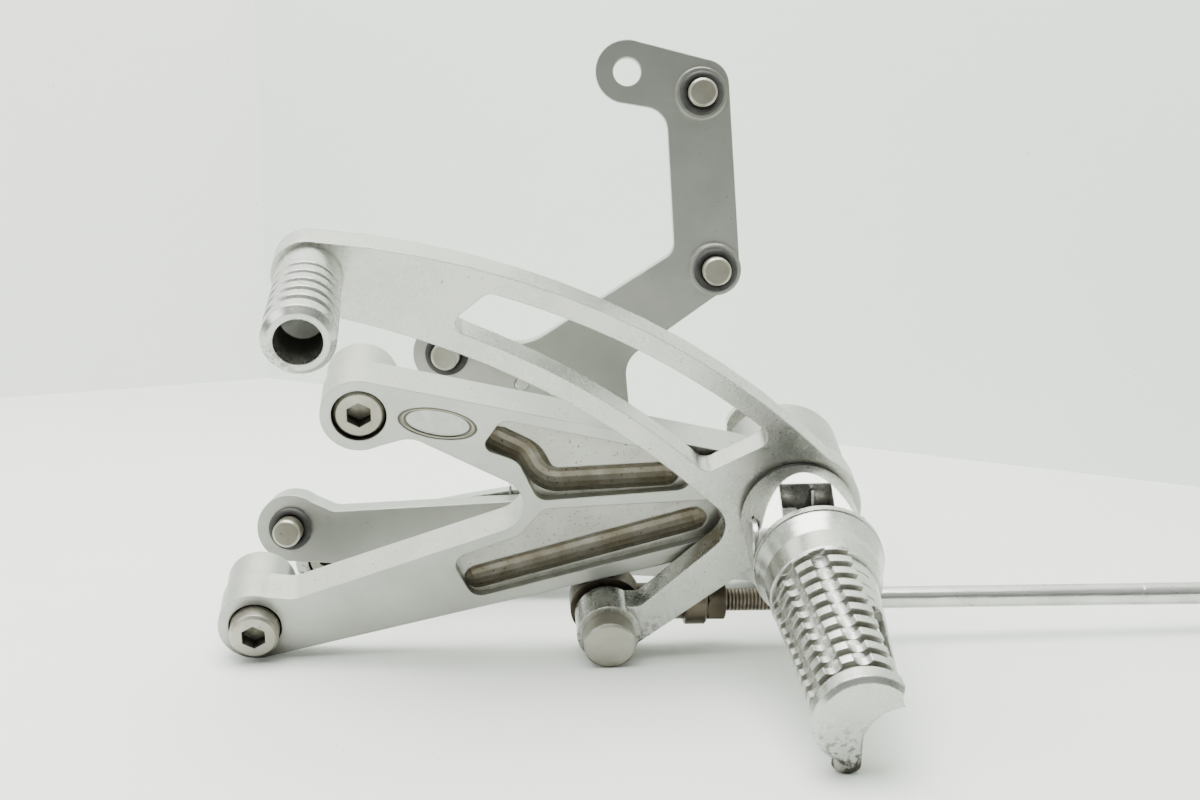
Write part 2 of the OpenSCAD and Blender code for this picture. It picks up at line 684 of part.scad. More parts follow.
// The footrest's two tongues are square above the pin and round below it
knuckle_r = 6.4;
knuckle_w = 3.6;
tongue_rear = 3.3;
tongue_top = 7.4;
slot_back = pin_out - norm([tongue_rear, tongue_top]) - 0.4;
thread_end = slot_back - 1.2;
flat_x = clevis_r - 1.6;
clip_t = 1;

// The wedge cut off the clevis top, which lets the collar swing up by fold_deg
module fold_room() {
    reach = 40;
    big = clevis_r + 2;
    // Room for the collar face at every angle of the fold: a round corner, then a straight slope
    corner_r = pin_to_collar - air;
    slope_at = polar(corner_r, fold_deg);
    polygon(concat(
        [[corner_r, 0], [reach, 0], [reach, big]],
        [slope_at + polar(reach, fold_deg + 90)],
        [for (i = [10:-1:1]) polar(corner_r, fold_deg * i / 10)]));
}

module clevis_body() {
    difference() {
        turned(hub) polygon([
            [0, clevis_back], [clevis_r - 0.5, clevis_back], [clevis_r, clevis_back + 0.5],
            [clevis_r, clevis_front - 0.5], [clevis_r - 0.5, clevis_front], [0, clevis_front]]);
        // Thread for the hub bolt
        bar(hub, hub_bolt_r + fit, -thread_end, -clevis_back + 1);
        // Slot for the tongues, with a floor below them
        translate([hub.x - slot_w / 2, -clevis_front - 1, pin_at.y - knuckle_r - 0.6])
            cube([slot_w, clevis_front + 1 - slot_back, 2 * clevis_r]);
        // Slope on top
        translate([hub.x - clevis_r - 1, -pin_out, pin_at.y]) rotate([90, 0, 90])
            linear_extrude(2 * clevis_r + 2) mirror([1, 0]) fold_room();
        // Hole and flats for the hinge pin
        translate([hub.x, -pin_out, pin_at.y]) rotate([0, 90, 0])
            cylinder(r = pin_r + run, h = 3 * clevis_r, center = true, $fn = fine);
        for (s = [-1, 1]) translate([hub.x + s * (flat_x + clevis_r / 2), -pin_out, pin_at.y])
            rotate([0, 90, 0]) cylinder(r = 6.6, h = clevis_r, center = true, $fn = fine);
    }
}

// The grip tapers from the cup to its free end
function grip_at(d) = grip_r + (grip_end_r - grip_r) * (d - teeth_from) / (peg_end - teeth_from);

module grip_outline() {
    lip_r = grip_at(lip_from) + 0.8;
    polygon([
        [0, collar_back], [collar_r - 0.4, collar_back], [collar_r, collar_back + 0.4],
        [collar_r, collar_edge], [collar_r - 0.5, collar_edge], [collar_r - 0.5, collar_edge + 0.4],
        [collar_r - 0.2, collar_edge + 0.4], [collar_r - 1, collar_back + 4.6],
        [grip_r + 0.4, collar_back + cup_l / 2], [grip_r + 0.3, teeth_from - 0.5], [grip_r, teeth_from],
        [grip_at(lip_from), lip_from], [lip_r, lip_from + 0.8], [lip_r, peg_end - 1.2],
        [lip_r - 1.2, peg_end], [0, peg_end]]);
}

// Two tongues on the collar, which the hinge pin goes through
module tongues() {
    reach = pin_to_collar + 0.5;
    for (s = [-1, 1]) translate([hub.x + s * (slot_w / 2 - air / 2 - knuckle_w / 2), -pin_out, pin_at.y]) {
        rotate([0, 90, 0]) cylinder(r = knuckle_r, h = knuckle_w, center = true, $fn = fine);
        translate([-knuckle_w / 2, 0, 0]) rotate([90, 0, 90]) linear_extrude(knuckle_w) polygon([
            [-reach, tuck - knuckle_r], [0, tuck - knuckle_r], [0, 0], [tongue_rear, 0],
            [tongue_rear, tongue_top], [-reach, tongue_top]]);
    }
}

// A round bar between two points
module rod_between(a, b, r) {
    d = b - a;
    translate(a) rotate([0, acos(d.z / norm(d)), atan2(d.y, d.x)]) cylinder(r = r, h = norm(d), $fn = fine);
}

// The skin that is taken off the rear side of the grip, which leaves it smooth and without teeth
module smooth_side() {
    intersection() {
        turned(peg_at) polygon([
            [collar_r + 4, teeth_from - 10], [collar_r - 0.6, teeth_from - 10], [grip_r - 1, teeth_from],
            [grip_r - tooth_d, teeth_from], [grip_end_r - tooth_d, peg_end + 1], [collar_r + 4, peg_end + 1]]);
        translate([peg_at.x, -(teeth_from + 22), peg_at.y]) rotate([0, smooth_turn, 0]) rotate([0, 0, smooth_skew])
            translate([0, -peg_l, -collar_r - 4]) cube([40, 2 * peg_l, 2 * collar_r + 8]);
    }
}

smooth_turn = 28;
smooth_skew = 6.8;
scoop_r = 10.4;
scoop_at = [9.6, -6.15];
// The rings of teeth run over the top, and four long grooves wind across them
ring_angles = [46, 230];
groove_angles = [106, 142, 178, 214];
groove_wind = 18;
groove_r = 2.3;
cut_w = 2.2;

module peg_body() {
    // The first and last ring keep a little off the cup and the lip
    inset = 0.4;
    pitch = (lip_from - teeth_from - cut_w - 2 * inset) / tooth_rings;
    groove_up = groove_r - tooth_d + 0.1;
    window_r = 2.3;
    window_half = 6.7;
    window_from = 3;
    difference() {
        union() {
            turned(peg_at) grip_outline();
            tongues();
        }
        translate([hub.x, -pin_out, pin_at.y]) rotate([0, 90, 0])
            cylinder(r = pin_r + run, h = 3 * clevis_r, center = true, $fn = fine);
        // Cuts between the tooth rings
        translate([peg_at.x, 0, peg_at.y]) rotate([90, 0, 0])
            for (i = [0:tooth_rings]) let (d = teeth_from + inset + pitch * i) translate([0, 0, d])
                rotate([0, 0, ring_angles[0]])
                    rotate_extrude(angle = ring_angles[1] - ring_angles[0], $fn = fine)
                        translate([grip_at(d) - tooth_d - 0.1, 0]) square([4, cut_w]);
        // Long grooves across the rings
        for (a = groove_angles) let (
                from = peg_at + polar(grip_at(teeth_from) + groove_up, a),
                to = peg_at + polar(grip_at(lip_from) + groove_up, a - groove_wind))
            rod_between([from.x, -teeth_from, from.y], [to.x, -lip_from, to.y], groove_r);
        smooth_side();
        // Scooped underside
        bar(peg_at + scoop_at, scoop_r, -(peg_end + 1), -(teeth_from + 3));
        // Oval window from the smooth side into the scoop
        translate([peg_at.x, -(teeth_from + 25.5), peg_at.y]) rotate([0, -42, 0]) {
            for (d = [-window_half, window_half]) translate([window_from, d, 0]) rotate([0, 90, 0])
                cylinder(r = window_r, h = collar_r, $fn = fine);
            translate([window_from, -window_half, -window_r]) cube([collar_r, 2 * window_half, 2 * window_r]);
        }
        // Hole for the slider
        translate([hub.x + slider_x, -slider_y, hub.y - slider_drop - 1])
            cylinder(r = slider_r + fit, h = slider_drop - slider_top + 1.2, $fn = fine);
    }
}

// Worn slider under the free end, in a hole of the grip
slider_x = -1.4;
slider_top = 3;
module slider_body() {
    translate([hub.x + slider_x, -slider_y, hub.y - slider_drop]) rotate_extrude($fn = fine) polygon([
        [0, 0], [slider_foot, 0], [slider_r, 0.7], [slider_r, slider_drop - slider_top],
        [0, slider_drop - slider_top]]);
}

module hinge_pin_body() {
    translate([hub.x, -pin_out, pin_at.y]) rotate([0, 90, 0]) translate([0, 0, -flat_x - 1.5])
        rotate_extrude($fn = fine) polygon([
            [0, 0], [5.2, 0], [5.6, 0.4], [5.6, 1.5], [pin_r, 1.5], [pin_r, 2 * flat_x + 1.6],
            [pin_r - 0.6, 2 * flat_x + 1.6], [pin_r - 0.6, 2 * flat_x + 1.7 + clip_t],
            [pin_r, 2 * flat_x + 1.7 + clip_t], [pin_r, 2 * flat_x + 4.2], [pin_r - 0.5, 2 * flat_x + 4.7],
            [0, 2 * flat_x + 4.7]]);
}

// Spring clip in the groove of the hinge pin
module pin_clip_body() {
    translate([hub.x + flat_x + 0.1, -pin_out, pin_at.y]) rotate([0, 90, 0]) difference() {
        cylinder(r = 5.4, h = clip_t, $fn = fine);
        translate([0, 0, -1]) cylinder(r = pin_r - 0.6 + run, h = clip_t + 2, $fn = fine);
        translate([-pin_r + 0.9, 0, -1]) cube([2 * pin_r - 1.8, 8, clip_t + 2]);
    }
}

// Torsion spring on the hinge pin between the two tongues, with one leg up against the slot's back
module peg_spring_body() {
    w = 0.5;
    coil_r = 4.1;
    turns = 3;
    steps = 12;
    pitch = 1.2;
    start = pitch * turns / 2;
    path = [for (i = [0:steps * turns]) let (a = -360 * i / steps)
        [start - pitch * i / steps, coil_r * cos(a), coil_r * sin(a)]];
    leg_up = [[start, coil_r + 3.3, 9.6], [start, coil_r + 0.5, 2.6]];
    leg_down = [[-start, coil_r, -2], [-start, coil_r, -5]];
    translate([hub.x, -pin_out, pin_at.y]) wire(concat(leg_up, path, leg_down), w);
}

module left_hub_bolt() { color(steel) left_side() hub_bolt_body(); }
module left_seal_ring() { color(black) left_side() seal_body(); }
module left_clevis() { color(bright) left_side() clevis_body(); }
module left_footrest() { color(bright) left_side() peg_body(); }
module left_peg_slider() { color(dark) left_side() slider_body(); }
module left_hinge_pin() { color(steel) left_side() hinge_pin_body(); }
module left_pin_clip() { color(steel) left_side() pin_clip_body(); }
module left_peg_spring() { color(steel) left_side() peg_spring_body(); }

module right_hub_bolt() { color(steel) right_side() hub_bolt_body(); }
module right_seal_ring() { color(black) right_side() seal_body(); }
module right_clevis() { color(bright) right_footrest_side() clevis_body(); }
module right_footrest() { color(bright) right_footrest_side() peg_body(); }
module right_peg_slider() { color(dark) right_footrest_side() slider_body(); }
module right_hinge_pin() { color(steel) right_footrest_side() hinge_pin_body(); }
module right_pin_clip() { color(steel) right_footrest_side() pin_clip_body(); }
module right_peg_spring() { color(steel) right_footrest_side() peg_spring_body(); }

// The right clevis is set upright on its hub, so its footrest folds straight up
module right_footrest_side() {
    right_side() translate([hub.x, 0, hub.y]) rotate([0, -right_roll, 0]) translate([-hub.x, 0, -hub.y])
        children();
}

// Right plate with its neck

hook = [52.7, 79.7];
hook_r = 9;
cylinder_top = [73.6, 73.3];
cylinder_low = cylinder_top + [3.7, -cylinder_pitch * 0.9973];
neck_w = 17;

module neck_outline() {
    turned_mount = turn(upper_mount, -right_roll);
    polygon(rounded([
        corner(hook + polar(hook_r - tuck, 74), 0), corner(cylinder_top + [7.7, 8], ring_r),
        corner(cylinder_low + [7.3, -2.8], ring_r), corner(turned_mount + [51.2, -2.6], 8),
        corner(turned_mount + [52.6, -19.8], 5), corner(turned_mount + [62, -26], 0),
        corner(turned_mount + [30, -24], 0), corner(turned_mount + [6, -2], 0),
        corner(turned_mount + [5, 8.3], 0), corner(turned_mount + [19.7, -0.3], 17),
        corner(cylinder_low + [7.4 - neck_w - 1.9, 5], 4.5), corner(cylinder_top + [-9.7, -4.7], 7),
        corner(hook + polar(hook_r - tuck, -105), 0)]));
}

anchor_at = [21.4, -9.1];
anchor_r = 2;

module right_plate() {
    color(satin) right_stand() difference() {
        union() {
            rotate([0, right_roll, 0]) translate([0, plate_t, 0]) mirror([0, 1, 0]) plate_body();
            slab(0, neck_t) neck_outline();
            bar(hook, hook_r, 0, neck_t);
            for (p = [cylinder_top, cylinder_low]) bar(p, ring_r, -ring_h, neck_t);
        }
        bar(hook, hanger_r, -1, neck_t + 1);
        for (p = [cylinder_top, cylinder_low]) bar(p, bolt_r + fit, -ring_h - 1, neck_t + 1);
        for (p = [upper_mount, lower_mount]) {
            bar(turn(p, -right_roll), bolt_r + fit, -1, plate_t + 1);
            bar(turn(p, -right_roll), head_r + 0.5, plate_t - upper_sink, plate_t + 1);
        }
        bar(anchor_at, anchor_r + fit, -1, plate_t + 1);
    }
}

// Bolts of the right plate have their heads on its outer side and point at the left set
module facing_bolt(p, seat, back) {
    color(steel) right_stand() mirror([0, 1, 0]) socket_bolt(p, -seat, seat - back, free_end);
}

module right_upper_bolt() { facing_bolt(turn(upper_mount, -right_roll), plate_t - upper_sink, -bolt_out); }
module right_lower_bolt() { facing_bolt(turn(lower_mount, -right_roll), plate_t - upper_sink, -bolt_out); }
module cylinder_upper_bolt() { facing_bolt(cylinder_top, neck_t, -ring_h - bolt_out); }
module cylinder_lower_bolt() { facing_bolt(cylinder_low, neck_t, -ring_h - bolt_out); }
module right_upper_oring() { right_stand() oring(turn(upper_mount, -right_roll), -oring_d); }
module right_lower_oring() { right_stand() oring(turn(lower_mount, -right_roll), -oring_d); }
module cylinder_upper_oring() { right_stand() oring(cylinder_top, -ring_h - oring_d); }
module cylinder_lower_oring() { right_stand() oring(cylinder_low, -ring_h - oring_d); }

// Pedal return spring, on a screw in the plate and hooked in a hole of the pedal
spring_wire = 0.45;
spring_y = plate_t + lever_gap + lever_t / 2;
hook_at = [16.9, -45.2];
pedal_hook = hub + turn(turn(hook_at, right_roll) - hub, -pedal_turn);

module spring_anchor() {
    color(steel) right_stand() translate([anchor_at.x, 0, anchor_at.y]) rotate([-90, 0, 0])
        rotate_extrude($fn = fine) polygon([
            [0, -0.8], [anchor_r - 0.4, -0.8], [anchor_r, -0.4], [anchor_r, spring_y - 1.2],
            [anchor_r - 0.5, spring_y - 0.8], [anchor_r - 0.5, spring_y + 0.8], [anchor_r, spring_y + 1.2],
            [anchor_r, spring_y + 2.2], [0, spring_y + 2.2]]);
}

module pedal_spring() {
    coil_r = 2.6;
    turns = 14;
    steps = 10;
    top = anchor_at + [-0.9, -8];
    low = hook_at + [0, 8];
    axis = low - top;
    side = unit([axis.y, -axis.x]);
    upper_hook = [for (a = [200:-40:-40]) let (q = anchor_at + polar(anchor_r - 0.5 + spring_wire + 0.25, a))
                  [q.x, spring_y, q.y]];
    body = [for (i = [0:steps * turns])
            let (a = 360 * i / steps, q = top + axis * i / (steps * turns) + side * coil_r * cos(a))
            [q.x, spring_y + coil_r * sin(a), q.y]];
    beside = spring_y - lever_t / 2 - 0.9;
    lower_hook = [
        [hook_at.x, spring_y - 0.5, hook_at.y + 7.2],
        for (q = [[0, 4], [0, 1.3], [0.3, 0.4], [1.1, 0], [3.6, 0]]) [hook_at.x, beside + q.x, hook_at.y + q.y]];
    color(steel) right_stand() wire(concat(upper_hook, body, lower_hook), spring_wire);
}

left_plate();
left_upper_bolt();
left_lower_bolt();
left_upper_spacer();
left_lower_spacer();
left_upper_oring();
left_lower_oring();
badge_insert();
gear_lever();
gear_lever_bush();
gear_toe_peg();
gear_toe_screw();
rod_bolt();
front_ball();
front_rod_end();
front_jam_nut();
gear_rod();
rear_jam_nut();
rear_rod_end();
rear_ball();
left_hub_bolt();
left_seal_ring();
left_clevis();
left_footrest();
left_peg_slider();
left_hinge_pin();
left_pin_clip();
left_peg_spring();
right_plate();
right_upper_bolt();
right_lower_bolt();
right_upper_oring();
right_lower_oring();
cylinder_upper_bolt();
cylinder_lower_bolt();
cylinder_upper_oring();
cylinder_lower_oring();
brake_pedal();
brake_pedal_bush();
brake_toe_peg();
brake_toe_screw();
right_hub_bolt();
right_seal_ring();
right_clevis();
right_footrest();
right_peg_slider();
right_hinge_pin();
right_pin_clip();
right_peg_spring();
spring_anchor();
pedal_spring();
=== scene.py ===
import json
import math

import bpy
from mathutils import Euler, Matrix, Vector


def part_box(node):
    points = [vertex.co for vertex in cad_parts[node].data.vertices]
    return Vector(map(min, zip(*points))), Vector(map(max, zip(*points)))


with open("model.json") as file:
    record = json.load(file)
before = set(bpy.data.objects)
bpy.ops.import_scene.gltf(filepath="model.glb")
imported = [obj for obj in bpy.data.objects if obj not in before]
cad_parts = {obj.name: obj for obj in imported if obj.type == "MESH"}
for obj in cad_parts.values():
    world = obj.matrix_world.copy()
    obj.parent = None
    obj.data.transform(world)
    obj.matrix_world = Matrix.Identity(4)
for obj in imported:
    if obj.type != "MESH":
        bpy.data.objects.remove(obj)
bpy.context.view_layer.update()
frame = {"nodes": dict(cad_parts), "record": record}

# Camera: same place and angle as the photographer's
LENS_MM = 60.0
SENSOR_MM = 36.0
IMAGE = (1200, 800)
CAMERA_AT = Vector((-0.085245, -0.542010, 0.148754))
CAMERA_TILT, CAMERA_ROLL, CAMERA_PAN = 81.10289, 0.66144, -3.52696
CAMERA_TURN = Euler([math.radians(angle) for angle in (CAMERA_TILT, CAMERA_ROLL, CAMERA_PAN)])

# Pixels of the photograph where the room's edges show
WALL_CORNER_PX = (269, 378)
LEFT_WALL_FOOT_PX = (0, 398)
RIGHT_WALL_FOOT_PX = (1200, 487)

FLOOR_REACH = 4.0
WALL_LENGTH = 4.0
WALL_HEIGHT = 2.0

# Area lights: name, place, target, size, watts, colour
LIGHTS = (
    ("top", (-0.15, -0.05, 0.90), (0.0, 0.0, 0.0), (0.9, 0.7), 21.0, (1.0, 1.0, 0.98)),
    ("left", (-0.95, -0.45, 0.60), (0.0, 0.0, 0.05), (0.6, 0.6), 5.0, (0.98, 1.0, 0.98)),
    ("right", (0.85, -0.1, 0.55), (0.0, 0.0, 0.05), (0.4, 0.6), 3.0, (1.0, 1.0, 1.0)),
)
ROOM_LOW = (0.10, 0.11, 0.10, 1.0)
ROOM_HIGH = (0.95, 1.0, 0.95, 1.0)
ROOM_STRENGTH = 0.9

# The left plate leans back from the foot of its outer face, and PLATE_IN points into it
PLATE_LEAN = math.radians(18.2953)
PLATE_FOOT = Vector((0.0, -0.023291, 0.0))
PLATE_IN = Vector((0.0, math.cos(PLATE_LEAN), math.sin(PLATE_LEAN)))
PLATE_UP = Vector((0.0, -math.sin(PLATE_LEAN), math.cos(PLATE_LEAN)))

# Depths into the left plate: where the dust of the pocket floors and the oil and painted shade of the
# troughs begin, and end
POCKET_FLOOR = 0.0018
TROUGH_TOP = 0.0029
POCKET_REACH = 0.0078

# The badge on the left plate
BADGE_TURN = math.radians(-12.0)
BADGE_LENGTH = 0.020
BADGE_WIDTH = 0.0084

# The rod's thread, measured from the middle of the front ball
THREAD_FROM, THREAD_TO = 0.030, 0.052
THREAD_PITCH = 0.001
THREAD_FADE = 0.0004

# Heights over the floor between which the scuffs fade out
SCUFF_LOW, SCUFF_HIGH = 0.004, 0.015

# Rounding of the pieces' edges in the shading
SMALL_EDGE = 0.0004
EDGE = 0.0005

# Noise cells per metre
CLOUDS = 70.0
STAINS = 260.0
GRAIN = 900.0
SPECKS = 1100.0
SPECK_PATCHES = 30.0

# Colours of dirt, two of them also painted shade, and how the grain is stretched on even and on drawn
# metal
# This near-black is soot on crumbs and lines of dirt, and painted shade in deep hollows
SOOT_AND_SHADE = (0.035, 0.03, 0.024)
SCUFF = (0.05, 0.046, 0.04)
# This brown is oil, and also painted shade in the troughs of the left plate's pockets
OIL_AND_SHADE = (0.16, 0.125, 0.075)
DUST = (0.27, 0.235, 0.18)
BROWN = (0.20, 0.165, 0.11)
EVEN = (1.0, 1.0, 1.0)
DRAWN = (0.1, 1.0, 1.0)


def add_camera():
    data = bpy.data.cameras.new("camera")
    data.sensor_width = SENSOR_MM
    data.lens = LENS_MM
    data.clip_start = 0.01
    data.clip_end = 20.0
    camera = bpy.data.objects.new("camera", data)
    camera.location = CAMERA_AT
    camera.rotation_euler = CAMERA_TURN
    bpy.context.scene.collection.objects.link(camera)
    bpy.context.scene.camera = camera


def floor_point(pixel):
    """The point of the floor that shows at a pixel of the 1200 x 800 image."""
    focal = LENS_MM / SENSOR_MM * IMAGE[0]
    ray = Vector((pixel[0] - IMAGE[0] / 2, IMAGE[1] / 2 - pixel[1], -focal))
    ray.rotate(CAMERA_TURN)
    return CAMERA_AT - ray * (CAMERA_AT.z / ray.z)


def middle_of(name):
    low, high = (Vector(corner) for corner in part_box(name))
    return (low + high) / 2


def add_plane(name, corners, material):
    mesh = bpy.data.meshes.new(name)
    mesh.from_pydata(corners, [], [(0, 1, 2, 3)])
    mesh.materials.append(material)
    plane = bpy.data.objects.new(name, mesh)
    bpy.context.scene.collection.objects.link(plane)


def add_wall(name, start, through, material):
    """An upright wall from one floor point through another and on beyond it."""
    far = start + (through - start).normalized() * WALL_LENGTH
    up = Vector((0.0, 0.0, WALL_HEIGHT))
    add_plane(name, [start, far, far + up, start + up], material)


def add_room():
    """A pale floor with two walls that meet in a corner behind the object."""
    near, far = -FLOOR_REACH, FLOOR_REACH
    add_plane("floor", [(near, near, 0.0), (far, near, 0.0), (far, far, 0.0), (near, far, 0.0)],
              paint("floor_paint", (0.88, 0.91, 0.87), (0.85, 0.88, 0.84)))
    corner = floor_point(WALL_CORNER_PX)
    add_wall("left_wall", corner, floor_point(LEFT_WALL_FOOT_PX),
             paint("left_wall_paint", (0.89, 0.91, 0.88), (0.87, 0.89, 0.86)))
    add_wall("right_wall", corner, floor_point(RIGHT_WALL_FOOT_PX),
             paint("right_wall_paint", (0.81, 0.86, 0.80), (0.79, 0.84, 0.78)))


def add_area_light(name, at, target, size, power, color):
    data = bpy.data.lights.new(name, "AREA")
    data.shape = "RECTANGLE"
    data.size, data.size_y = size
    data.energy = power
    data.color = color
    light = bpy.data.objects.new(name, data)
    light.location = at
    light.rotation_euler = (Vector(target) - Vector(at)).to_track_quat("-Z", "Y").to_euler()
    bpy.context.scene.collection.objects.link(light)


def add_world():
    """A bright ceiling above a dim room, so that the metal has something dark to reflect."""
    world = bpy.data.worlds.new("world")
    bpy.context.scene.world = world
    world.use_nodes = True
    tree = world.node_tree
    coords = tree.nodes.new("ShaderNodeTexCoord")
    split = tree.nodes.new("ShaderNodeSeparateXYZ")
    ramp = tree.nodes.new("ShaderNodeValToRGB")
    tree.links.new(coords.outputs["Generated"], split.inputs[0])
    tree.links.new(split.outputs["Z"], ramp.inputs["Fac"])
    low, high = ramp.color_ramp.elements
    low.position, low.color = 0.05, ROOM_LOW
    high.position, high.color = 0.75, ROOM_HIGH
    back = tree.nodes["Background"]
    tree.links.new(ramp.outputs["Color"], back.inputs["Color"])
    back.inputs["Strength"].default_value = ROOM_STRENGTH


class Nodes:
    """Short calls for building a node tree."""

    def __init__(self, name):
        self.material = bpy.data.materials.new(name)
        self.material.use_nodes = True
        self.tree = self.material.node_tree
        self.shader = self.tree.nodes["Principled BSDF"]

    def fill(self, socket, value):
        """Link a socket to another node's output, or set it to a plain value."""
        if isinstance(value, bpy.types.NodeSocket):
            self.tree.links.new(value, socket)
        elif isinstance(value, tuple) and socket.type == "RGBA":
            socket.default_value = (*value, 1.0)
        else:
            socket.default_value = value

    def add(self, kind, **inputs):
        node = self.tree.nodes.new(kind)
        for key, value in inputs.items():
            self.fill(node.inputs[key.replace("_", " ")], value)
        return node

    def shade(self, key, value):
        self.fill(self.shader.inputs[key], value)

    def place(self):
        return self.add("ShaderNodeTexCoord").outputs["Object"]

    def vector_math(self, operation, a, b):
        node = self.tree.nodes.new("ShaderNodeVectorMath")
        node.operation = operation
        self.fill(node.inputs[0], a)
        self.fill(node.inputs[1], b)
        return node.outputs["Value"]

    def along(self, origin, direction):
        """How far a point of the object lies from origin, measured along direction."""
        reach = self.vector_math("DOT_PRODUCT", self.place(), direction)
        return self.math("SUBTRACT", reach, origin.dot(direction))

    def away(self, point):
        """Distance of a point of the object from a given point."""
        return self.vector_math("DISTANCE", self.place(), point)

    def facing(self, direction):
        """How far the surface faces a direction of the room, from -1 to 1."""
        normal = self.add("ShaderNodeNewGeometry").outputs["Normal"]
        return self.vector_math("DOT_PRODUCT", normal, direction)

    def noise(self, cells, detail, stretch=EVEN):
        mapping = self.add("ShaderNodeMapping", Vector=self.place(), Scale=stretch)
        node = self.add("ShaderNodeTexNoise", Scale=cells, Detail=detail, Roughness=0.55,
                        Vector=mapping.outputs["Vector"])
        return node.outputs["Fac"]

    def math(self, operation, *values):
        node = self.tree.nodes.new("ShaderNodeMath")
        node.operation = operation
        for socket, value in zip(node.inputs, values):
            self.fill(socket, value)
        return node.outputs[0]

    def times(self, first, *others):
        for other in others:
            first = self.math("MULTIPLY", first, other)
        return first

    def less(self, value):
        """One minus a value."""
        return self.math("SUBTRACT", 1.0, value)

    def band(self, value, low, high):
        """A value stretched so that it runs from 0 at low to 1 at high."""
        return self.add("ShaderNodeMapRange", Value=value, From_Min=low, From_Max=high).outputs["Result"]

    def mix(self, factor, a, b):
        node = self.tree.nodes.new("ShaderNodeMix")
        node.data_type = "RGBA"
        for socket, value in ((node.inputs[0], factor), (node.inputs[6], a), (node.inputs[7], b)):
            self.fill(socket, value)
        return node.outputs[2]

    def cavity(self, distance):
        """How much stands round a point within a distance, from 0 in the open to 1."""
        node = self.add("ShaderNodeAmbientOcclusion", Distance=distance)
        node.samples = 6
        return self.less(node.outputs["AO"])

    def bump(self, height, strength, distance, rounding=0.0):
        node = self.add("ShaderNodeBump", Height=height, Strength=strength, Distance=distance)
        if rounding:
            bevel = self.add("ShaderNodeBevel", Radius=rounding)
            bevel.samples = 4
            self.fill(node.inputs["Normal"], bevel.outputs["Normal"])
        self.shade("Normal", node.outputs["Normal"])


def metal(name, light, deep, grime, rough, grimy, specked, stretch=EVEN, rounding=SMALL_EDGE, extra=None):
    """A worn metal, with painted shade in its deep hollows; extra(nodes) gives (factor, colour) pairs
    that are laid over it as dirt, some of it partly painted shade.
    """
    n = Nodes(name)
    cloud = n.noise(CLOUDS, 5.0)
    fine = n.noise(GRAIN, 3.0, stretch)
    color = n.mix(n.band(cloud, 0.35, 0.7), light, deep)
    corner = n.band(n.times(n.cavity(0.005), n.band(n.noise(STAINS, 6.0), 0.15, 0.7)), 0.16, 0.7)
    color = n.mix(n.times(corner, grimy), color, grime)
    # Painted shade: deep hollows are darkened almost to black
    hole_shade = n.band(n.cavity(0.012), 0.58, 0.84)
    color = n.mix(n.times(hole_shade, 0.85), color, SOOT_AND_SHADE)
    dirt_and_shade = n.math("MAXIMUM", corner, hole_shade)
    dots = n.band(n.noise(SPECKS, 2.0), 0.70, 0.74)
    patch = n.band(n.noise(SPECK_PATCHES, 2.0), 0.44, 0.60)
    color = n.mix(n.times(dots, patch, specked), color, (0.05, 0.045, 0.04))
    if extra:
        for factor, stain in extra(n):
            color = n.mix(factor, color, stain)
            dirt_and_shade = n.math("MAXIMUM", dirt_and_shade, factor)
    n.shade("Base Color", color)
    n.shade("Metallic", 1.0)
    spread = n.math("MULTIPLY_ADD", n.math("ADD", cloud, fine), 0.06, rough - 0.06)
    n.shade("Roughness", n.math("ADD", spread, n.times(dirt_and_shade, 0.28)))
    n.bump(fine, 0.12, 0.0002, rounding)
    return n.material


def pocket_dirt_and_shade(n):
    """Dust on the pocket floors of the left plate, and oil and painted shade in the troughs and below the
    walls.
    """
    depth = n.along(PLATE_FOOT, PLATE_IN)
    front = n.band(n.facing(-PLATE_IN), 0.12, 0.45)
    within = n.math("LESS_THAN", depth, POCKET_REACH)
    cloud = n.band(n.noise(160.0, 6.0), 0.25, 0.62)
    floor = n.times(n.band(depth, POCKET_FLOOR, 0.0027), front, within, cloud, 0.30)
    # Partly oil, partly painted shade: the deepest front faces of the pockets are darkened brown
    trough_oil_and_shade = n.times(n.band(depth, TROUGH_TOP, 0.0046), front, within, n.band(cloud, -0.7, 1.0), 0.72)
    upward = n.band(n.facing(Vector((0.0, 0.0, 1.0))), 0.30, 0.75)
    shut_in = n.band(n.cavity(0.010), 0.42, 0.62)
    film = n.band(n.noise(90.0, 5.0), 0.2, 0.6)
    # Partly oil, partly painted shade: upward faces shut in low in the pockets are darkened brown
    wet_oil_and_shade = n.times(n.band(depth, 0.0010, 0.0035), upward, within, shut_in, film, 0.75)
    crumbs = n.band(n.noise(1500.0, 3.0), 0.64, 0.69)
    dots = n.times(n.band(depth, 0.0012, 0.0020), within, crumbs, 0.8)
    return [(floor, DUST), (trough_oil_and_shade, OIL_AND_SHADE), (wet_oil_and_shade, OIL_AND_SHADE), (dots, (0.05, 0.042, 0.03))]


def road_dirt(n):
    """Black scuffs close to the floor, and crumbs of dirt on the end of the gear lever's toe peg."""
    height = n.along(Vector((0.0, 0.0, 0.0)), Vector((0.0, 0.0, 1.0)))
    near = n.less(n.band(height, SCUFF_LOW, SCUFF_HIGH))
    scuffs = n.band(n.noise(700.0, 8.0), 0.50, 0.60)
    low = Vector(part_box("gear_toe_peg")[0])
    rim = Vector((low.x + 0.001, low.y, low.z))
    end = n.less(n.band(n.away(rim), 0.003, 0.0085))
    crumbs = n.band(n.noise(900.0, 8.0), 0.46, 0.54)
    return [(n.times(near, scuffs, 0.8), SCUFF), (n.times(end, crumbs, 0.95), SOOT_AND_SHADE)]


def slider_scuffs(n):
    return [(n.times(n.band(n.noise(420.0, 6.0), 0.46, 0.56), 0.85), (0.035, 0.03, 0.025))]


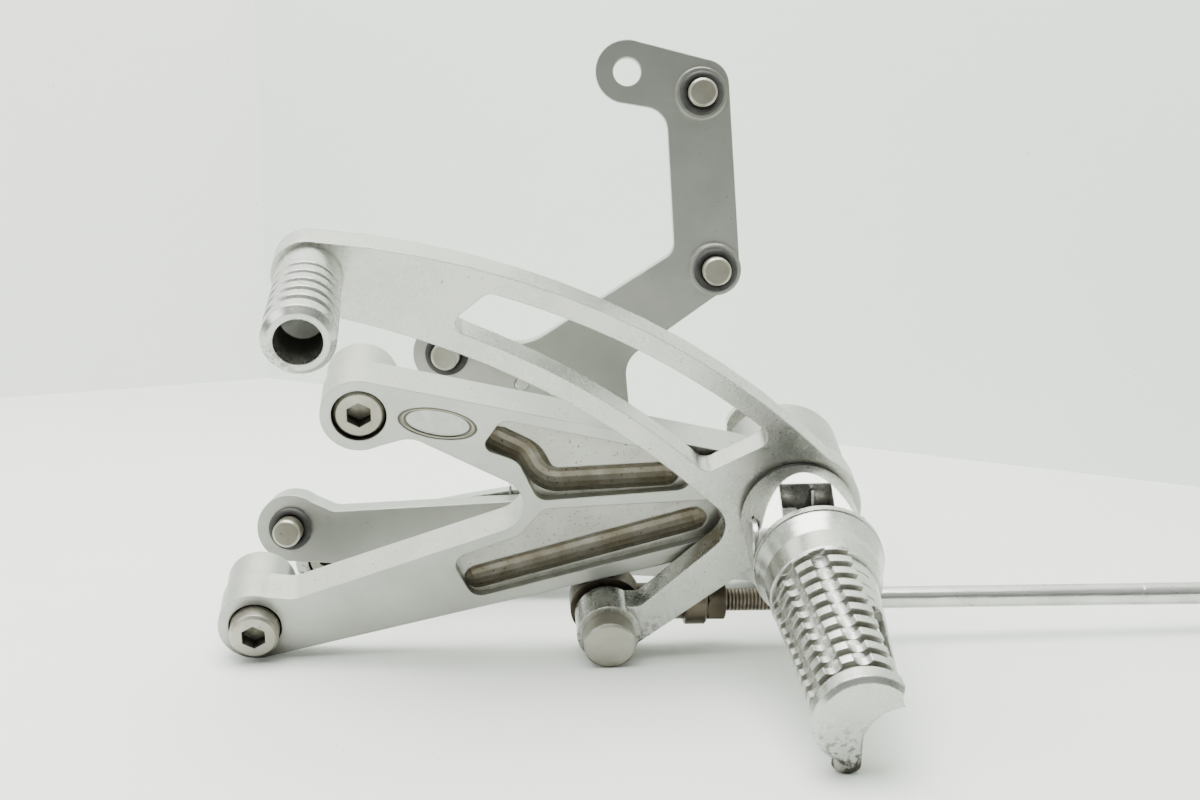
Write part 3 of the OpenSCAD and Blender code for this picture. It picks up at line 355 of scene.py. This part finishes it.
def badge_plate():
    """A pale oval plate in a yellowed rim, with a dark line of dirt inside and outside the rim."""
    n = Nodes("badge")
    middle = middle_of("badge_insert")
    right = Vector((1.0, 0.0, 0.0))
    long_axis = right * math.cos(BADGE_TURN) + PLATE_UP * math.sin(BADGE_TURN)
    short_axis = PLATE_UP * math.cos(BADGE_TURN) - right * math.sin(BADGE_TURN)
    u = n.math("DIVIDE", n.along(middle, long_axis), BADGE_LENGTH / 2)
    v = n.math("DIVIDE", n.along(middle, short_axis), BADGE_WIDTH / 2)
    reach = n.math("SQRT", n.math("ADD", n.times(u, u), n.times(v, v)))
    plate = n.mix(n.band(n.noise(400.0, 4.0), 0.35, 0.7), (0.62, 0.63, 0.60), (0.52, 0.53, 0.49))
    color = n.mix(n.band(reach, 0.83, 0.85), plate, (0.36, 0.34, 0.25))
    soft = 0.02
    for inner, outer in ((0.79, 0.86), (0.93, 1.0)):
        line = n.times(n.band(reach, inner, inner + soft), n.less(n.band(reach, outer, outer + soft)))
        color = n.mix(n.times(line, 0.92), color, SOOT_AND_SHADE)
    n.shade("Base Color", color)
    n.shade("Roughness", 0.3)
    return n.material


def rubber():
    n = Nodes("black_rubber")
    cloud = n.noise(220.0, 5.0)
    n.shade("Base Color", n.mix(n.band(cloud, 0.4, 0.75), (0.012, 0.012, 0.012), (0.05, 0.048, 0.044)))
    n.shade("Roughness", n.band(cloud, -0.6, 1.3))
    n.bump(n.noise(GRAIN, 3.0), 0.25, 0.0002, 0.0003)
    return n.material


def threaded_rod(start, direction):
    """Drawn steel with a thread between two distances from start, whose valleys are painted dark as
    shade.
    """
    n = Nodes("threaded_rod")
    cloud = n.noise(90.0, 4.0)
    fine = n.noise(GRAIN, 3.0, (0.08, 1.0, 1.0))
    reach = n.along(start, direction)
    begins = n.band(reach, THREAD_FROM, THREAD_FROM + THREAD_FADE)
    inside = n.times(begins, n.less(n.band(reach, THREAD_TO, THREAD_TO + THREAD_FADE)))
    wave = n.math("SINE", n.times(reach, math.tau / THREAD_PITCH))
    ridge = n.math("MULTIPLY_ADD", wave, 0.5, 0.5)
    # Painted shade: the valleys of the thread, which is only bumped, are darkened almost to black
    valley_shade = n.times(inside, n.less(ridge))
    plain = n.mix(n.band(cloud, 0.35, 0.7), (0.60, 0.60, 0.58), (0.48, 0.48, 0.46))
    worn = n.mix(inside, plain, (0.24, 0.20, 0.16))
    n.shade("Base Color", n.mix(n.times(valley_shade, 0.9), worn, (0.03, 0.025, 0.02)))
    n.shade("Metallic", 1.0)
    n.shade("Roughness", n.math("MULTIPLY_ADD", n.math("ADD", cloud, inside), 0.14, 0.20))
    n.bump(n.math("ADD", n.times(fine, 0.2), n.times(ridge, inside)), 0.8, 0.0004)
    return n.material


def paint(name, color, shade):
    """A matt pale paint with a few grey crumbs."""
    n = Nodes(name)
    clouded = n.mix(n.band(n.noise(6.0, 3.0), 0.35, 0.65), color, shade)
    crumbs = n.band(n.noise(420.0, 2.0), 0.745, 0.775)
    patches = n.band(n.noise(25.0, 2.0), 0.5, 0.6)
    n.shade("Base Color", n.mix(n.times(crumbs, patches, 0.55), clouded, (0.25, 0.24, 0.22)))
    n.shade("Roughness", 0.5)
    return n.material


def slot_materials():
    """One material for each material slot of the record."""
    return {
        "satin_aluminium": metal(
            "satin_aluminium", light=(0.44, 0.445, 0.415), deep=(0.38, 0.385, 0.355), grime=BROWN,
            rough=0.34, grimy=0.8, specked=0.6, rounding=EDGE, extra=pocket_dirt_and_shade),
        "bright_aluminium": metal(
            "bright_aluminium", light=(0.50, 0.505, 0.475), deep=(0.44, 0.445, 0.415), grime=BROWN,
            rough=0.27, grimy=0.7, specked=0.75, rounding=EDGE, extra=road_dirt),
        "badge": badge_plate(),
        "bolt_steel": metal(
            "bolt_steel", light=(0.40, 0.39, 0.34), deep=(0.27, 0.25, 0.20), grime=(0.07, 0.05, 0.03),
            rough=0.38, grimy=0.95, specked=0.8),
        "bright_steel": metal(
            "bright_steel", light=(0.55, 0.55, 0.53), deep=(0.42, 0.42, 0.40), grime=(0.10, 0.08, 0.06),
            rough=0.26, grimy=0.8, specked=0.3, stretch=DRAWN),
        "dark_steel": metal(
            "dark_steel", light=(0.15, 0.125, 0.095), deep=(0.07, 0.058, 0.043),
            grime=(0.02, 0.016, 0.012), rough=0.36, grimy=0.9, specked=0.3),
        "black_rubber": rubber(),
    }


def dress(name, material):
    materials = frame["nodes"][name].data.materials
    materials.clear()
    materials.append(material)


def dress_pieces():
    materials = slot_materials()
    for part in frame["record"]["subparts"]:
        dress(part["node"], materials[part["material_slot"]])
    front, rear = middle_of("front_ball"), middle_of("rear_ball")
    dress("gear_rod", threaded_rod(front, (rear - front).normalized()))
    scuffed = metal(
        "scuffed_steel", light=(0.46, 0.45, 0.42), deep=(0.30, 0.28, 0.25), grime=(0.04, 0.034, 0.028),
        rough=0.36, grimy=0.95, specked=0.9, rounding=EDGE, extra=slider_scuffs)
    for name in ("left_peg_slider", "right_peg_slider"):
        dress(name, scuffed)


add_camera()
add_world()
add_room()
for light in LIGHTS:
    add_area_light(*light)
dress_pieces()
